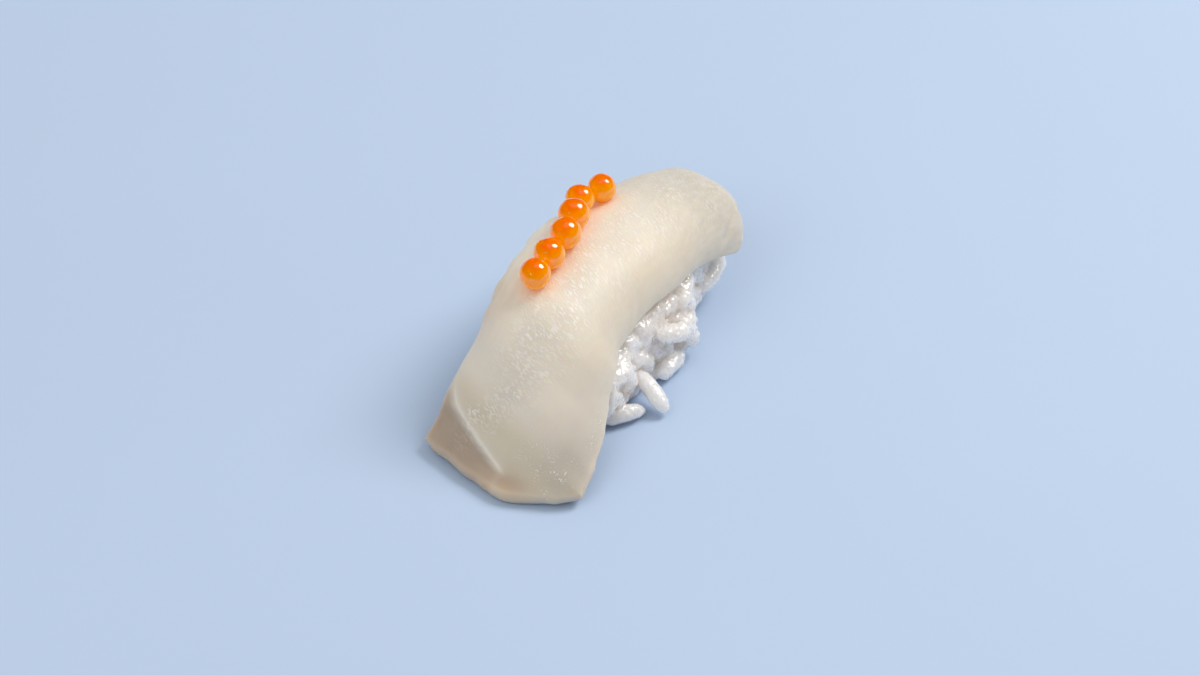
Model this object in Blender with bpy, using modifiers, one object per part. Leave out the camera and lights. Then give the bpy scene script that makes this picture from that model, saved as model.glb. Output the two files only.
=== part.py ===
"""Halibut nigiri: a slice of white fish draped over a ball of pressed rice, with six pearls of roe on it.

The piece stands on the XY plane. X runs along it, from the low near end of the slice to its far end, +Y is
the side where the roe lies, and +Z is up. Sizes are in millimetres until a mesh is filled, which is where
MM turns them into metres.
"""
import bmesh
import bpy
import numpy as np
from mathutils import Matrix, Vector

MM = 0.001
GAP = 0.3                      # air kept between two pieces that touch
PIECE_CENTRE = (-3.9, -2.1)    # middle of the whole piece in the layout's own x and y

# The slice, measured along its own surface: a station runs from the near edge to the far edge.
SLICE_LENGTH = 83.0
SLICE_WIDTH = ((0, 28.0), (20, 27.4), (40, 26.2), (56, 26.6), (70, 27.4))
SLICE_THICKNESS = 3.2
SLICE_EDGE_THICKNESS = 1.1
SLICE_EDGE_TAPER = 5.0         # width of the band in which the slice thins towards its edge
SLICE_CELLS_LONG = 44
SLICE_CELLS_WIDE = 13
SLICE_START = (-39.0, 1.2)     # x and z of the middle of the near edge
SLICE_CROWD_LONG = 0.35        # how strongly the grid lines crowd towards the edges, along and across
SLICE_CROWD_WIDE = 0.45
SLICE_WAVE = 0.12              # height of the slow unevenness of the slice
SLICE_WAVES = ((0.55, 0.30), (0.23, -0.45))    # radians per millimetre along and across, for each wave
SLICE_WAVE_FADE = 12.0         # the unevenness starts this far from the near edge

# How the slice lies: each pair is a station and an angle in degrees or a distance.
SLICE_PITCH = ((0, 4), (6.5, 47), (20, 49), (37, 5), (54, -4), (68, -21), (80, -33), (90, -50))
LEFT_FALL = ((0, 0), (10, 18), (24, 46), (36, 40), (48, 28), (58, 34), (66, 44), (76, 55))
RIGHT_FALL = ((0, 0), (8, 20), (20, 70), (38, 79), (58, 82), (76, 72))
RIDGE_FROM_LEFT = ((0, 12.6), (18, 10.4), (34, 9.6), (50, 11.4), (66, 12.5))
RIDGE_SIDE = ((0, -1.4), (20, 1.0), (38, 2.3), (60, 0.4), (88, 0.1))
LEFT_BEND = 9.0                # distance from the ridge at which the slice reaches its full fall
RIGHT_BEND = 15.0
SAMPLES_LONG = 151             # points of the slice that the rice and the roe are kept clear of
SAMPLES_WIDE = 57
PITCH_PARTS = 500              # equal parts over which the pitch and the roll are summed up
ROLL_PARTS = 24

# The cut ends and the wavy left edge.
NEAR_TIP = 0.6                 # place of the near point across the slice, 0 left to 1 right
NEAR_TIP_LEFT = 4.1            # how far the near corners stay behind that point
NEAR_TIP_RIGHT = 5.2
NEAR_BLUNTNESS = 1.25          # 1 gives straight cuts to the near point, more rounds the point
FAR_SKEW_LEFT = 2.2            # how far the far edge stays short of the full length
FAR_SKEW_RIGHT = 6.6
FAR_CORNER_LEFT = 8.0          # rounding of the far corners
FAR_CORNER_RIGHT = 5.0
FAR_SQUARENESS = 3.2
LOBE_PITCH = 6.3               # the left edge bulges between small notches beside the roe
LOBE_DEPTH = 0.7
LOBE_FIRST = 22.5
LOBE_LAST = 54.0
LOBE_FADE = 3.0                # the row of lobes starts and ends over this length
LOBE_REACH = 4                 # the higher, the closer to the edge the lobes stay

# The ball of rice: a rounded block, pressed in by the slice above it.
RICE_CENTRE = (-0.6, -0.4)
RICE_HALF_LENGTH = 26.0
RICE_HALF_WIDTH = 10.6
RICE_HEIGHT = 19.6
RICE_SQUARENESS = 3.4
RICE_SINK = 1.2                # depth of the rounded underside that is flattened into the resting face
RICE_SEGMENTS = 40
RICE_RINGS = 19
PRESS_GAP = 0.55               # air between the slice and the core that it presses down
PRESS_FADE_FROM = 1.0          # beside the slice the pressing fades, between these two distances
PRESS_FADE_TO = 4.0
RICE_RIGHT = ((-26, 0.9), (-14, 1.0), (7, 1.02), (12.5, 0.74), (26, 0.66))   # x and share of the half width
RICE_BULGE = ((3.4, -10.5, 6.0), 3.2, 3.85)  # the clump on the right: its place, its reach, its spread

# Grains.
GRAIN_LENGTH = (6.4, 8.4)
GRAIN_WIDTH = (2.75, 3.2)
GRAIN_SEGMENTS = 5
GRAIN_RINGS = 4
GRAIN_FULLNESS = 0.75          # 1 gives an ellipse along the grain, less gives blunter ends
GRAIN_SHOULDER = 1.1           # widens a grain near its ends
GRAIN_FLATNESS = 0.92          # height of a grain over its width
GRAIN_BEND = 0.4               # a grain bends down towards its ends
GRAIN_SPACING = 2.65
GRAIN_LIFT = 0.35              # how far a grain's middle stands out of the core
GRAIN_TILT = 14.0              # degrees by which a grain leans in or out at most
GRAIN_TRIALS = 6               # directions that are tried for a grain where the slice is near
GRAIN_LOWEST = 0.05            # height over the floor that every grain keeps
SPOT_TURNS = 96                # grid of places on the core: round it, and from low on its side to its top
SPOT_LEVELS = 26
SPOT_FROM = 0.16
SPOT_TO = 2.2
SPOT_SHIFT = 0.03              # angle of the steps with which the core's normal is found
UNDERSIDE = -0.7               # no grain where the core's normal points down more than this
TINY = 1e-6
GRAIN_SEED = 11
# Grains that lie loose against the right side: the middles of their two round ends, and the width.
LOOSE_GRAINS = (
    ((-6.3, -10.6, 4.4), (-8.7, -16.6, 1.7), 3.1),
    ((-15.6, -10.2, 1.7), (-10.6, -13.6, 1.6), 2.9),
    ((16.6, -8.4, 4.6), (24.4, -7.6, 5.6), 2.9),
    ((4.2, -12.2, 8.2), (6.6, -12.8, 2.6), 3.2),
    ((-1.2, -11.6, 9.0), (3.6, -13.4, 7.4), 3.2),
    ((-2.4, -12.2, 2.0), (4.0, -12.0, 1.8), 3.0),
)

LOOSE_GRAIN_UP = (0.0, -0.6, 0.8)    # where the backs of these grains face

# Roe: x, y and radius of each pearl, from the near one to the far one.
ROE = (
    (-14.8, 3.3, 2.33),
    (-10.0, 3.8, 2.40),
    (-5.0, 4.0, 2.42),
    (-0.3, 5.45, 2.42),
    (4.5, 7.4, 2.25),
    (8.75, 6.0, 2.18),
)
ROE_SEGMENTS = 14
ROE_RINGS = 8

# Colours (linear), roughness.
FISH_FINISH = ((0.72, 0.66, 0.52, 1.0), 0.3)
RICE_FINISH = ((0.80, 0.77, 0.74, 1.0), 0.35)
ROE_FINISH = ((1.0, 0.26, 0.02, 1.0), 0.12)


def along(stations, table):
    """Smooth curve through the table's pairs: from one pair to the next it follows 3t² - 2t³."""
    stations = np.asarray(stations, float)
    value = np.full(stations.shape, float(table[0][1]))
    for (start, low), (end, high) in zip(table, table[1:]):
        t = np.clip((stations - start) / (end - start), 0.0, 1.0)
        value += (high - low) * t * t * (3 - 2 * t)
    return value


def eased(t):
    """3t² - 2t³ with t held between 0 and 1."""
    t = np.clip(t, 0.0, 1.0)
    return t * t * (3 - 2 * t)


def ridge_line(stations):
    """x, z and pitch of the ridge: the pitch is summed up along the slice in fine equal steps."""
    fine = np.linspace(0.0, SLICE_LENGTH, PITCH_PARTS)
    pitch = np.radians(along(fine, SLICE_PITCH))
    step = fine[1] - fine[0]
    run = np.concatenate(([0.0], np.cumsum((np.cos(pitch[1:]) + np.cos(pitch[:-1])) * step / 2)))
    rise = np.concatenate(([0.0], np.cumsum((np.sin(pitch[1:]) + np.sin(pitch[:-1])) * step / 2)))
    x = np.interp(stations, fine, SLICE_START[0] + run)
    z = np.interp(stations, fine, SLICE_START[1] + rise)
    return x, z, np.interp(stations, fine, pitch)


def slice_middle(station, offset):
    """Middle surface of the slice: from the ridge it rolls down to both sides with a growing fall.

    The offset is measured across the slice from its left edge. The roll is summed over equal parts of the
    way from the ridge, and is laid in the plane square to the ridge.
    """
    x, z, pitch = ridge_line(station)
    away = offset - along(station, RIDGE_FROM_LEFT)
    parts = (np.arange(ROLL_PARTS) + 0.5) / ROLL_PARTS
    way = away[..., None] * parts
    right = np.radians(along(station, RIGHT_FALL))[..., None] * eased(way / RIGHT_BEND)
    left = np.radians(along(station, LEFT_FALL))[..., None] * eased(-way / LEFT_BEND)
    roll = np.where(way > 0, right, -left)
    side = np.cos(roll).mean(-1) * away
    drop = np.sin(roll).mean(-1) * away
    wave = sum(np.sin(along_it * station + across_it * offset) for along_it, across_it in SLICE_WAVES)
    height = SLICE_WAVE * wave * eased(station / SLICE_WAVE_FADE) - drop
    return np.stack((x - np.sin(pitch) * height, along(station, RIDGE_SIDE) - side,
                     z + np.cos(pitch) * height), -1)


def slice_outline(long_way, cross_way):
    """Station and offset of a point of the cut slice, from its two ways through it, 0 to 1 each.

    The near edge is a blunt point, the far edge is skewed with rounded corners, and the left edge bulges in
    lobes beside the roe.
    """
    left_of_tip = cross_way < NEAR_TIP
    from_tip = np.where(left_of_tip, 1 - cross_way / NEAR_TIP, (cross_way - NEAR_TIP) / (1 - NEAR_TIP))
    near = np.where(left_of_tip, NEAR_TIP_LEFT, NEAR_TIP_RIGHT) * from_tip ** NEAR_BLUNTNESS
    from_middle = np.abs(2 * cross_way - 1)
    corner = np.where(cross_way < 0.5, FAR_CORNER_LEFT, FAR_CORNER_RIGHT)
    rounding = corner * (1 - (1 - from_middle ** FAR_SQUARENESS) ** (1 / FAR_SQUARENESS))
    skew = FAR_SKEW_LEFT * (1 - cross_way) + FAR_SKEW_RIGHT * cross_way
    far = SLICE_LENGTH - skew - rounding
    station = near + long_way * (far - near)
    lobes = np.abs(np.sin(np.pi * (station - LOBE_FIRST) / LOBE_PITCH))
    inside = eased((station - LOBE_FIRST) / LOBE_FADE) * eased((LOBE_LAST - station) / LOBE_FADE)
    bulge = LOBE_DEPTH * (lobes - 0.5) * inside * (1 - cross_way) ** LOBE_REACH
    return station, cross_way * along(station, SLICE_WIDTH) - bulge


def slice_thickness(long_way, cross_way):
    """Thickness of the slice: from the thin edge it rises in a quarter round up to the full slice."""
    width = along(long_way * SLICE_LENGTH, SLICE_WIDTH)
    edge = np.minimum(np.minimum(cross_way, 1 - cross_way) * width,
                      np.minimum(long_way, 1 - long_way) * SLICE_LENGTH)
    t = np.clip(edge / SLICE_EDGE_TAPER, 0, 1)
    return SLICE_EDGE_THICKNESS + (SLICE_THICKNESS - SLICE_EDGE_THICKNESS) * np.sqrt(1 - (1 - t) ** 2)


def slice_samples():
    """Points of the middle surface on a fine even grid, with upward normals and half thicknesses."""
    long_way, cross_way = np.meshgrid(np.linspace(0, 1, SAMPLES_LONG), np.linspace(0, 1, SAMPLES_WIDE),
                                      indexing="ij")
    middle = slice_middle(*slice_outline(long_way, cross_way))
    normal = np.cross(np.gradient(middle, axis=1), np.gradient(middle, axis=0))
    normal /= np.linalg.norm(normal, axis=-1, keepdims=True)
    half = slice_thickness(long_way, cross_way) / 2
    return middle.reshape(-1, 3), normal.reshape(-1, 3), half.reshape(-1)


SLICE_POINTS, SLICE_UP, SLICE_HALF = slice_samples()


def nearest_on_slice(point):
    """Index of the slice's middle point that is nearest to a point, and the vector from it."""
    away = point - SLICE_POINTS
    index = int(np.argmin((away ** 2).sum(-1)))
    return index, away[index]


def clear_of_slice(point, radius):
    """True where a ball round the point stays clear of the slice."""
    index, away = nearest_on_slice(point)
    return np.linalg.norm(away) > SLICE_HALF[index] + radius + GAP


def pressed_under_slice(point):
    """The point, moved down along the slice's normal until it lies clear below the slice."""
    for _ in range(3):
        index, away = nearest_on_slice(point)
        up = SLICE_UP[index]
        height = float(away @ up)
        sideways = np.linalg.norm(away - height * up)
        fade = eased((sideways - PRESS_FADE_FROM) / (PRESS_FADE_TO - PRESS_FADE_FROM))
        need = (SLICE_HALF[index] + PRESS_GAP) * (1 - fade)
        if height > -need:
            point = point - up * (height + need)
    return point


def rice_surface(direction):
    """Point of the bare core in a direction: a rounded block with a bulge, flat below, pressed above."""
    direction = direction / (np.abs(direction) ** RICE_SQUARENESS).sum() ** (1 / RICE_SQUARENESS)
    half = np.array((RICE_HALF_LENGTH, RICE_HALF_WIDTH, (RICE_HEIGHT + RICE_SINK) / 2))
    point = direction * half
    if point[1] < 0:
        point[1] *= along(point[0], RICE_RIGHT)
    point += np.array((RICE_CENTRE[0], RICE_CENTRE[1], half[2] - RICE_SINK))
    place, reach, spread = RICE_BULGE
    if direction[1] < 0:
        point[1] -= reach * np.exp(-((point - np.array(place)) ** 2).sum() / (2 * spread ** 2))
    point = pressed_under_slice(point)
    point[2] = max(point[2], 0.0)
    return point


def new_material(name, finish):
    """A Principled material with one colour and one roughness."""
    material = bpy.data.materials.new(name)
    material.use_nodes = True
    shader = material.node_tree.nodes["Principled BSDF"]
    shader.inputs["Base Color"].default_value = finish[0]
    shader.inputs["Roughness"].default_value = finish[1]
    shader.inputs["Metallic"].default_value = 0.0
    return material


def in_layout(points):
    """Layout millimetres to metres about the middle of the piece."""
    return (np.asarray(points, float) - np.array((PIECE_CENTRE[0], PIECE_CENTRE[1], 0.0))) * MM


def put_points(mesh, points):
    """Write an array of points into a mesh's vertices."""
    mesh.vertices.foreach_set("co", np.ascontiguousarray(points, dtype=np.float32).reshape(-1))
    mesh.update()


def take_points(mesh):
    """A mesh's vertices as an array."""
    points = np.empty(len(mesh.vertices) * 3, np.float32)
    mesh.vertices.foreach_get("co", points)
    return points.reshape(-1, 3).astype(float)


def adopt(obj, name, collection, material):
    """Name an object, move it into a collection and give it a material."""
    obj.name = name
    obj.data.name = name
    for other in obj.users_collection:
        other.objects.unlink(obj)
    collection.objects.link(obj)
    obj.data.materials.clear()
    obj.data.materials.append(material)
    return obj


def make_slice(collection):
    """The draped slice: a flat grid laid on the middle surface, then thickened."""
    bpy.ops.mesh.primitive_grid_add(x_subdivisions=SLICE_CELLS_LONG, y_subdivisions=SLICE_CELLS_WIDE,
                                    size=1)
    obj = adopt(bpy.context.object, "halibut_slice", collection, new_material("raw halibut", FISH_FINISH))
    flat = take_points(obj.data)
    long_way = flat[:, 0] + 0.5
    across = 0.5 - flat[:, 1]
    cross_way = across - SLICE_CROWD_WIDE * np.sin(2 * np.pi * across) / (2 * np.pi)
    long_way = long_way - SLICE_CROWD_LONG * np.sin(2 * np.pi * long_way) / (2 * np.pi)
    put_points(obj.data, in_layout(slice_middle(*slice_outline(long_way, cross_way))))
    group = obj.vertex_groups.new(name="thickness")
    for index, weight in enumerate(slice_thickness(long_way, cross_way) / SLICE_THICKNESS):
        group.add([index], float(weight), "REPLACE")
    thicken = obj.modifiers.new("thickness", "SOLIDIFY")
    thicken.thickness = SLICE_THICKNESS * MM
    thicken.offset = 0.0
    thicken.vertex_group = group.name
    obj.data.shade_smooth()
    return obj


def make_core(collection, material):
    """The bare ball of rice: a sphere whose points are carried to the core's surface."""
    bpy.ops.mesh.primitive_uv_sphere_add(segments=RICE_SEGMENTS, ring_count=RICE_RINGS, radius=1)
    obj = adopt(bpy.context.object, "rice", collection, material)
    points = np.array([rice_surface(direction) for direction in take_points(obj.data)])
    put_points(obj.data, in_layout(points))
    return obj


def grain_mesh():
    """One plump grain of unit length and width: a five-sided ball, blunt at its ends and a little bent."""
    bpy.ops.mesh.primitive_uv_sphere_add(segments=GRAIN_SEGMENTS, ring_count=GRAIN_RINGS, radius=0.5)
    obj = bpy.context.object
    mesh = obj.data
    points = take_points(mesh)[:, [2, 0, 1]]
    points[:, 0] = 0.5 * np.sign(points[:, 0]) * np.abs(2 * points[:, 0]) ** GRAIN_FULLNESS
    points[:, 1:] *= np.where(np.abs(points[:, 0]) > 0.1, GRAIN_SHOULDER, 1.0)[:, None]
    points[:, 2] = points[:, 2] * GRAIN_FLATNESS - GRAIN_BEND * (points[:, 0] ** 2 - 0.1)
    put_points(mesh, points)
    bpy.data.objects.remove(obj)
    mesh.name = "grain"
    return mesh


def grain_frame(middle, axis, up, length, width):
    """Matrix that lays the unit grain at a place, along an axis, with its round back towards up."""
    axis = axis / np.linalg.norm(axis)
    up = up - (up @ axis) * axis
    up = up / np.linalg.norm(up)
    side = np.cross(up, axis)
    place = Matrix.Translation(Vector(in_layout(middle)))
    turn = Matrix((axis, side, up)).transposed().to_4x4()
    size = Matrix.Diagonal((length * MM, width * MM, width * MM, 1.0))
    return place @ turn @ size


def grain_fits(middle, axis, length, width):
    """True where a grain stays clear of the slice and above the floor."""
    for part in np.linspace(-0.4, 0.4, 7):
        point = middle + axis * length * part
        radius = width / 2 * np.sqrt(1 - 2.8 * part ** 2)
        if point[2] - radius < GRAIN_LOWEST or not clear_of_slice(point, radius):
            return False
    return True


def core_spots():
    """Places and outward normals spread over the core's surface, above its underside."""
    turns, levels = np.meshgrid(np.arange(SPOT_TURNS) * 2 * np.pi / SPOT_TURNS,
                                np.linspace(SPOT_FROM, SPOT_TO, SPOT_LEVELS), indexing="ij")
    spots = []
    for turn, level in zip(turns.ravel(), levels.ravel()):
        corners = []
        for shift_turn, shift_level in ((0, 0), (SPOT_SHIFT, 0), (0, SPOT_SHIFT)):
            t = turn + shift_turn
            p = level + shift_level
            direction = np.array((np.cos(t) * np.sin(p), np.sin(t) * np.sin(p), -np.cos(p)))
            corners.append(rice_surface(direction))
        normal = np.cross(corners[1] - corners[0], corners[2] - corners[0])
        size = np.linalg.norm(normal)
        if size > TINY:
            spots.append((corners[0], normal / size))
    return spots


def grain_places():
    """Frames of all grains: the loose ones first, then seeded ones spread over the open sides."""
    draw = np.random.default_rng(GRAIN_SEED)
    frames = []
    middles = []
    for start, end, width in LOOSE_GRAINS:
        start, end = np.array(start), np.array(end)
        axis = end - start
        middles.append((start + end) / 2)
        length = np.linalg.norm(axis) + width / 2
        frames.append(grain_frame(middles[-1], axis, np.array(LOOSE_GRAIN_UP), length, width))
    spots = core_spots()
    for index in draw.permutation(len(spots)):
        spot, outward = spots[index]
        length = draw.uniform(*GRAIN_LENGTH)
        width = draw.uniform(*GRAIN_WIDTH)
        turn = draw.uniform(0, np.pi)
        tilt = np.radians(draw.uniform(-GRAIN_TILT, GRAIN_TILT))
        middle = spot + outward * GRAIN_LIFT
        middle[2] = max(middle[2], width / 2 + 2 * GRAIN_LOWEST)
        crowded = min(np.linalg.norm(middle - other) for other in middles) < GRAIN_SPACING
        if outward[2] < UNDERSIDE or crowded:
            continue
        first = np.cross(outward, (0.0, 0.0, 1.0) if abs(outward[2]) < 0.999 else (0.0, 1.0, 0.0))
        first /= np.linalg.norm(first)
        second = np.cross(outward, first)
        for trial in range(GRAIN_TRIALS):
            angle = turn + trial * np.pi / GRAIN_TRIALS
            flat = first * np.cos(angle) + second * np.sin(angle)
            axis = flat * np.cos(tilt) + outward * np.sin(tilt)
            if grain_fits(middle, axis, length, width):
                middles.append(middle)
                frames.append(grain_frame(middle, axis, outward, length, width))
                break
    return frames


def drop_scraps(mesh):
    """Keep only the largest connected surface of a mesh, without sealed hollows and loose scraps."""
    work = bmesh.new()
    work.from_mesh(mesh)
    left = set(work.verts)
    groups = []
    while left:
        front = [left.pop()]
        group = set(front)
        while front:
            vertex = front.pop()
            linked = {edge.other_vert(vertex) for edge in vertex.link_edges} & left
            left -= linked
            group |= linked
            front.extend(linked)
        groups.append(group)
    groups.sort(key=len)
    scraps = [vertex for group in groups[:-1] for vertex in group]
    bmesh.ops.delete(work, geom=scraps, context="VERTS")
    work.to_mesh(mesh)
    work.free()


def make_rice(collection, scrap):
    """The ball of rice: the core with every grain that shows fused on in one union."""
    material = new_material("cooked rice", RICE_FINISH)
    core = make_core(collection, material)
    mesh = grain_mesh()
    mesh.materials.append(material)
    for number, frame in enumerate(grain_places()):
        grain = bpy.data.objects.new(f"grain_{number + 1}", mesh)
        grain.matrix_world = frame
        scrap.objects.link(grain)
    fuse = core.modifiers.new("grains", "BOOLEAN")
    fuse.operand_type = "COLLECTION"
    fuse.collection = scrap
    fuse.operation = "UNION"
    fuse.solver = "MANIFOLD"
    bpy.context.view_layer.update()
    fused = bpy.data.meshes.new_from_object(core.evaluated_get(bpy.context.evaluated_depsgraph_get()))
    core.modifiers.clear()
    core.data = fused
    fused.name = "rice"
    drop_scraps(fused)
    for grain in list(scrap.objects):
        bpy.data.objects.remove(grain)
    return core


def resting_height(x, y, radius):
    """Height at which a ball dropped at x, y comes to lie on the slice, with the gap kept."""
    top = SLICE_POINTS + SLICE_UP * SLICE_HALF[:, None]
    flat = (top[:, 0] - x) ** 2 + (top[:, 1] - y) ** 2
    reach = (radius + GAP) ** 2
    under = flat < reach
    return float((top[under, 2] + np.sqrt(reach - flat[under])).max())


def make_pearl(number, x, y, radius, collection, material):
    """One pearl of roe: a ball that lies on the slice."""
    bpy.ops.mesh.primitive_uv_sphere_add(segments=ROE_SEGMENTS, ring_count=ROE_RINGS, radius=radius * MM)
    obj = adopt(bpy.context.object, f"roe_{number}", collection, material)
    put_points(obj.data, take_points(obj.data) + in_layout((x, y, resting_height(x, y, radius))))
    obj.data.shade_smooth()
    return obj


def clear_scene():
    """Remove what the scene starts with."""
    for obj in list(bpy.data.objects):
        bpy.data.objects.remove(obj)


def main():
    """Build the nigiri: rice, slice and roe."""
    clear_scene()
    nigiri = bpy.data.collections.new("halibut_nigiri")
    scrap = bpy.data.collections.new("grains")
    bpy.context.scene.collection.children.link(nigiri)
    bpy.context.scene.collection.children.link(scrap)
    make_rice(nigiri, scrap)
    make_slice(nigiri)
    roe = new_material("salmon roe", ROE_FINISH)
    for number, (x, y, radius) in enumerate(ROE, start=1):
        make_pearl(number, x, y, radius, nigiri, roe)
    bpy.data.collections.remove(scrap)


main()
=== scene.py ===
"""Looks of a halibut nigiri: the draped slice, the ball of rice, the pearls of roe, and the stage.

Lengths inside the shape functions are in millimetres, in the layout in which the piece was drawn. X runs
along the piece from the slice's low near end, +Y is the side where the roe lies, +Z is up. in_metres()
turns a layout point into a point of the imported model.
"""

import bpy
import numpy as np
from bpy.props import FloatProperty, FloatVectorProperty, IntProperty, PointerProperty
from bpy.types import Operator, Panel, PropertyGroup
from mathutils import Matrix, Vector


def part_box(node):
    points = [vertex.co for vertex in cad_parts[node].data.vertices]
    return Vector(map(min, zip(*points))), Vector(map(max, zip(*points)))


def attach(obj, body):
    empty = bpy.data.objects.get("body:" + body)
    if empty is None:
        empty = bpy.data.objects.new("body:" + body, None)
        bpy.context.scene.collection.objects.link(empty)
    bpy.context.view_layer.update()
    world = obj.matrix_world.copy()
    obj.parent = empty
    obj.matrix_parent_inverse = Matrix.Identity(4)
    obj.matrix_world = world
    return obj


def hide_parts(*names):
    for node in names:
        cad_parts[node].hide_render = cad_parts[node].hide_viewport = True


bl_info = {
    "name": "Halibut nigiri",
    "version": (1, 0, 0),
    "blender": (4, 5, 0),
    "location": "View3D > Sidebar > Nigiri",
    "description": "Makes the slice, the rice, the roe and the stage of one piece of nigiri",
    "category": "Add Mesh",
}

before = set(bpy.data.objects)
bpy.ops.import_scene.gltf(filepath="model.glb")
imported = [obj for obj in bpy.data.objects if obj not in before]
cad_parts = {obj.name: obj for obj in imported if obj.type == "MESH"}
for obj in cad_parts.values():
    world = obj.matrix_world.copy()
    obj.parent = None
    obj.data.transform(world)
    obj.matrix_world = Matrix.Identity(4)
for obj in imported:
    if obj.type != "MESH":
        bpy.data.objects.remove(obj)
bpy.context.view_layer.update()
MM = 0.001
PIECE_CENTRE = np.array((-3.9, -2.1, 0.0))
PEARLS = tuple(sorted(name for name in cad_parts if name.startswith("roe_")))


# ---- settings

def length(name, description, default):
    """A length property in metres."""
    return FloatProperty(name=name, description=description, default=default, min=0.0, unit="LENGTH",
                         precision=5)


def colour(name, thing, default):
    """A thing's colour as a property."""
    return FloatVectorProperty(name=name, description=f"Colour of the {thing}", default=default, size=3,
                               min=0.0, max=1.0, subtype="COLOR")


def power(name, thing, default):
    """A light's power as a property in watts."""
    return FloatProperty(name=name, description=f"Power of the {thing} in watts", default=default, min=0.0,
                         subtype="POWER")


class SliceSettings(PropertyGroup):
    """Sizes and colours of the fish slice."""
    extent: length("Length", "Length of the slice along its own surface", 0.083)
    thickness: length("Thickness", "Full thickness of the slice", 0.0032)
    rim: length("Rim", "Thickness of the slice at its cut edge", 0.0011)
    taper: length("Taper", "Width of the band that thins towards the edge", 0.005)
    stroke_pitch: length("Stroke pitch", "Distance between the fine fibre ends across the flesh", 0.00036)
    flesh: colour("Flesh", "raw flesh", (0.815, 0.75, 0.66))
    warm: colour("Warm flesh", "flesh over the rice's side", (0.76, 0.655, 0.515))
    cool: colour("Cool flesh", "thin near part", (0.66, 0.605, 0.495))
    skin_side: colour("Skin side", "pink-brown band beside the white seam", (0.43, 0.345, 0.275))
    # Painted shade: the thin near right corner is darker, as if a dark ground showed through it
    thin: colour("Thin corner", "thin near right corner, in painted shade", (0.385, 0.36, 0.33))
    far: colour("Far end", "flesh at the far end", (0.54, 0.505, 0.44))
    seam: colour("Seam", "white connective seam", (0.86, 0.82, 0.76))


class RiceSettings(PropertyGroup):
    """Sizes and colours of the ball of rice."""
    grain_length: length("Grain length", "Mean length of a cooked grain", 0.0062)
    grain_width: length("Grain width", "Mean width of a cooked grain", 0.0027)
    spacing: length("Spacing", "Least distance between the middles of two grains of one layer", 0.0021)
    seed: IntProperty(name="Seed", description="Seed of the grains' places", default=5, min=0)
    voxel: length("Skin cell", "Cell size of the skin that joins the sticky grains", 0.00027)
    starch: colour("Starch", "grains", (0.945, 0.90, 0.88))
    # Painted shade: warmer and darker between the grains and under the slice
    crevice: colour("Crevice", "painted shade between the grains", (0.70, 0.60, 0.48))


class RoeSettings(PropertyGroup):
    """Sizes and colours of the roe."""
    oil_share: FloatProperty(name="Oil", description="Radius of the oil drop as a share of the pearl's",
                             default=0.42, min=0.1, max=0.9, subtype="FACTOR")
    skin: colour("Skin", "pearls", (1.0, 0.415, 0.001))
    oil: colour("Oil", "oil drop in each pearl", (1.0, 0.19, 0.003))


class StageSettings(PropertyGroup):
    """Floor, lights and camera."""
    floor: colour("Floor", "floor", (0.475, 0.60, 0.80))
    key: power("Key", "main soft light", 5.15)
    overhead: power("Overhead", "light above", 0.8)
    front: power("Front", "wide front light", 3.1)
    back: power("Back", "light behind the piece", 0.8)
    glint: power("Glint", "small light that gives sharp glints", 0.13)
    lens: FloatProperty(name="Lens", description="Focal length of the camera in millimetres", default=105.0,
                        min=10.0)


# The view that the piece is made for: the camera's direction, right, up, and place in the layout.
LOOK = np.array((0.6449, 0.4030, -0.6494))
FRONT_RIGHT = np.array((0.530, -0.848, 0.0))
FRONT_UP = np.array((0.551, 0.344, 0.760))
CAMERA = np.array((-361.3, -225.0, 366.0))


# ---- shader maths

class Wire:
    """A socket's value in a sum: + - * / on it add Math nodes, also with a number on the left."""

    def __init__(self, tree, socket):
        self.tree = tree
        self.socket = socket

    def maths(self, operation, *others, swap=False):
        """A Math node on this value and others."""
        node = self.tree.nodes.new("ShaderNodeMath")
        node.operation = operation
        values = (self, *others)
        for slot, value in zip(node.inputs, values[::-1] if swap else values):
            if isinstance(value, Wire):
                self.tree.links.new(value.socket, slot)
            else:
                slot.default_value = value
        return Wire(self.tree, node.outputs[0])

    def __add__(self, other):
        return self.maths("ADD", other)

    def __sub__(self, other):
        return self.maths("SUBTRACT", other)

    def __mul__(self, other):
        return self.maths("MULTIPLY", other)

    def __truediv__(self, other):
        return self.maths("DIVIDE", other)

    def __rsub__(self, other):
        return self.maths("SUBTRACT", other, swap=True)

    def __rtruediv__(self, other):
        return self.maths("DIVIDE", other, swap=True)

    __radd__ = __add__
    __rmul__ = __mul__

    def rise(self, low, high):
        """0 below low, 1 above high, smooth between."""
        span = (self - low) / (high - low)
        held = span.maths("MAXIMUM", 0.0).maths("MINIMUM", 1.0)
        return held * held * (3.0 - 2.0 * held)


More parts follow.
